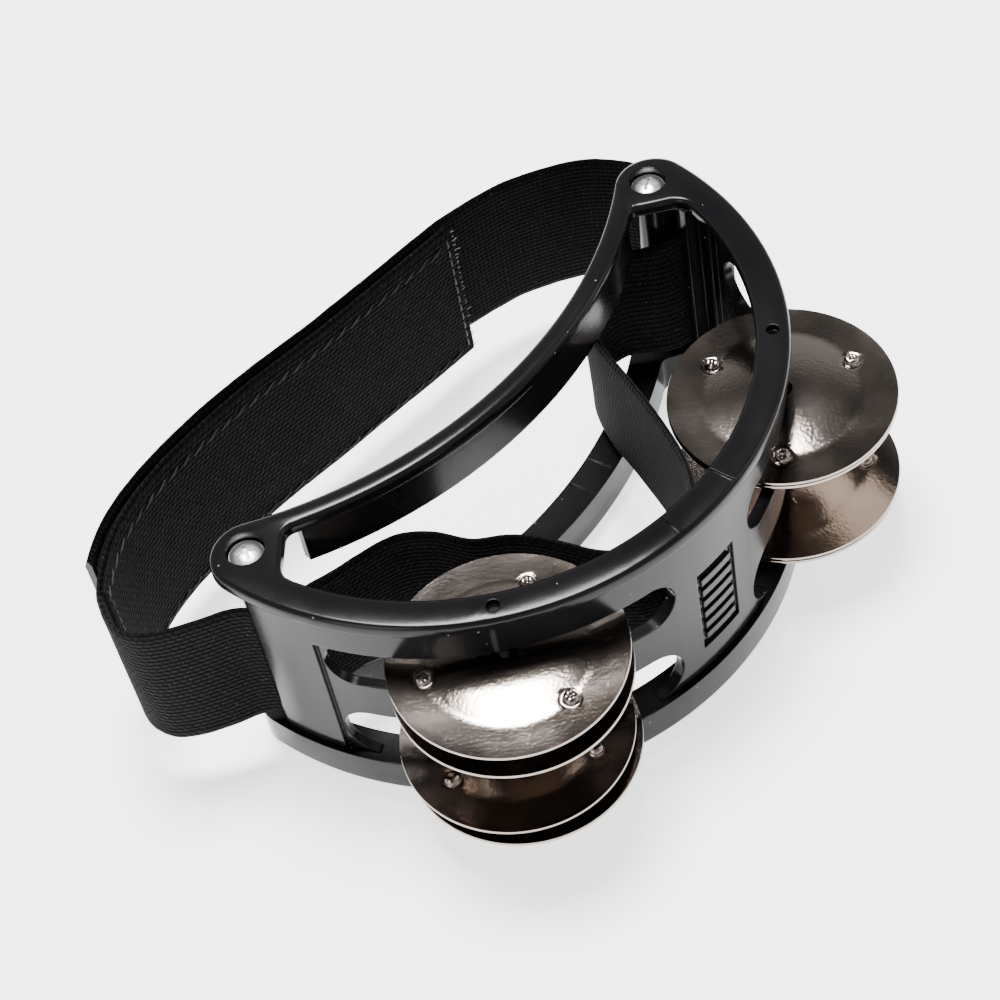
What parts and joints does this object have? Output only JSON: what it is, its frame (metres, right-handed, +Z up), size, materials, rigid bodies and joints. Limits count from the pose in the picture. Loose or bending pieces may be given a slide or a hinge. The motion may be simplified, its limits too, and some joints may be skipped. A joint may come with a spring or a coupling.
{
  "type": "foot tambourine",
  "caption": "Half-moon tambourine worn on the foot: black slotted frame, loose steel jingles on upright pins and a wide elastic strap that laps at the back.",
  "frame": {"origin": "midway between the two tip screws, level with the underside of the bottom ring, in the space the foot stands in", "axes": "+X from the left tip to the right tip, +Y from the curved wall towards the strap, +Z up through the frame along the pins and screws"},
  "size_m": [0.1659, 0.121, 0.0604],
  "materials": {
    "gloss_black": "polished black moulding, softly reflective",
    "zinc": "bright zinc plating",
    "pin_steel": "plain bright wire",
    "jingle_steel": "nickel plate with a fine grainy texture",
    "twill_webbing": "fine diagonal twill, matt",
    "ribbed_elastic": "knitted elastic, ribbed across its width",
    "hook_fabric": "short looped pile"
  },
  "bodies": {
    "frame": {"frame_upper_shell": "gloss_black", "frame_bottom_ring": "gloss_black", "tip_screw_left": "zinc", "tip_screw_right": "zinc", "strap_left_inner_run": "twill_webbing", "strap_left_outer_run": "twill_webbing", "strap_right_inner_run": "ribbed_elastic", "strap_right_outer_run": "ribbed_elastic", "strap_hook_strip": "hook_fabric"},
    "pin_left": {"jingle_pin_left": "pin_steel"},
    "jingle_left_upper_bottom": {"jingle_left_upper_bottom": "jingle_steel"},
    "jingle_left_upper_top": {"jingle_left_upper_top": "jingle_steel"},
    "jingle_left_lower_bottom": {"jingle_left_lower_bottom": "jingle_steel"},
    "jingle_left_lower_top": {"jingle_left_lower_top": "jingle_steel"},
    "pin_right": {"jingle_pin_right": "pin_steel"},
    "jingle_right_upper_bottom": {"jingle_right_upper_bottom": "jingle_steel"},
    "jingle_right_upper_top": {"jingle_right_upper_top": "jingle_steel"},
    "jingle_right_lower_bottom": {"jingle_right_lower_bottom": "jingle_steel"},
    "jingle_right_lower_top": {"jingle_right_lower_top": "jingle_steel"}
  },
  "joints": [
    {"name": "spin_left", "type": "hinge", "parent": "frame", "child": "pin_left", "pos_m": [-0.0442, -0.05053, 0.03], "axis": [0, 0, 1], "continuous": true},
    {"name": "lift_left_upper_bottom", "type": "slide", "parent": "pin_left", "child": "jingle_left_upper_bottom", "axis": [0, 0, 1], "range_m": [0, 0.0009]},
    {"name": "lift_left_upper_top", "type": "slide", "parent": "jingle_left_upper_bottom", "child": "jingle_left_upper_top", "axis": [0, 0, 1], "range_m": [-0.0051, 0.0009]},
    {"name": "lift_left_lower_bottom", "type": "slide", "parent": "pin_left", "child": "jingle_left_lower_bottom", "axis": [0, 0, 1], "range_m": [0, 0.0032]},
    {"name": "lift_left_lower_top", "type": "slide", "parent": "jingle_left_lower_bottom", "child": "jingle_left_lower_top", "axis": [0, 0, 1], "range_m": [-0.0029, 0.0032]},
    {"name": "spin_right", "type": "hinge", "parent": "frame", "child": "pin_right", "pos_m": [0.0442, -0.05053, 0.03], "axis": [0, 0, 1], "continuous": true},
    {"name": "lift_right_upper_bottom", "type": "slide", "parent": "pin_right", "child": "jingle_right_upper_bottom", "axis": [0, 0, 1], "range_m": [0, 0.0034]},
    {"name": "lift_right_upper_top", "type": "slide", "parent": "jingle_right_upper_bottom", "child": "jingle_right_upper_top", "axis": [0, 0, 1], "range_m": [0, 0.0034]},
    {"name": "lift_right_lower_bottom", "type": "slide", "parent": "pin_right", "child": "jingle_right_lower_bottom", "axis": [0, 0, 1], "range_m": [0, 0.0046]},
    {"name": "lift_right_lower_top", "type": "slide", "parent": "jingle_right_lower_bottom", "child": "jingle_right_lower_top", "axis": [0, 0, 1], "range_m": [0, 0.0046]}
  ]
}
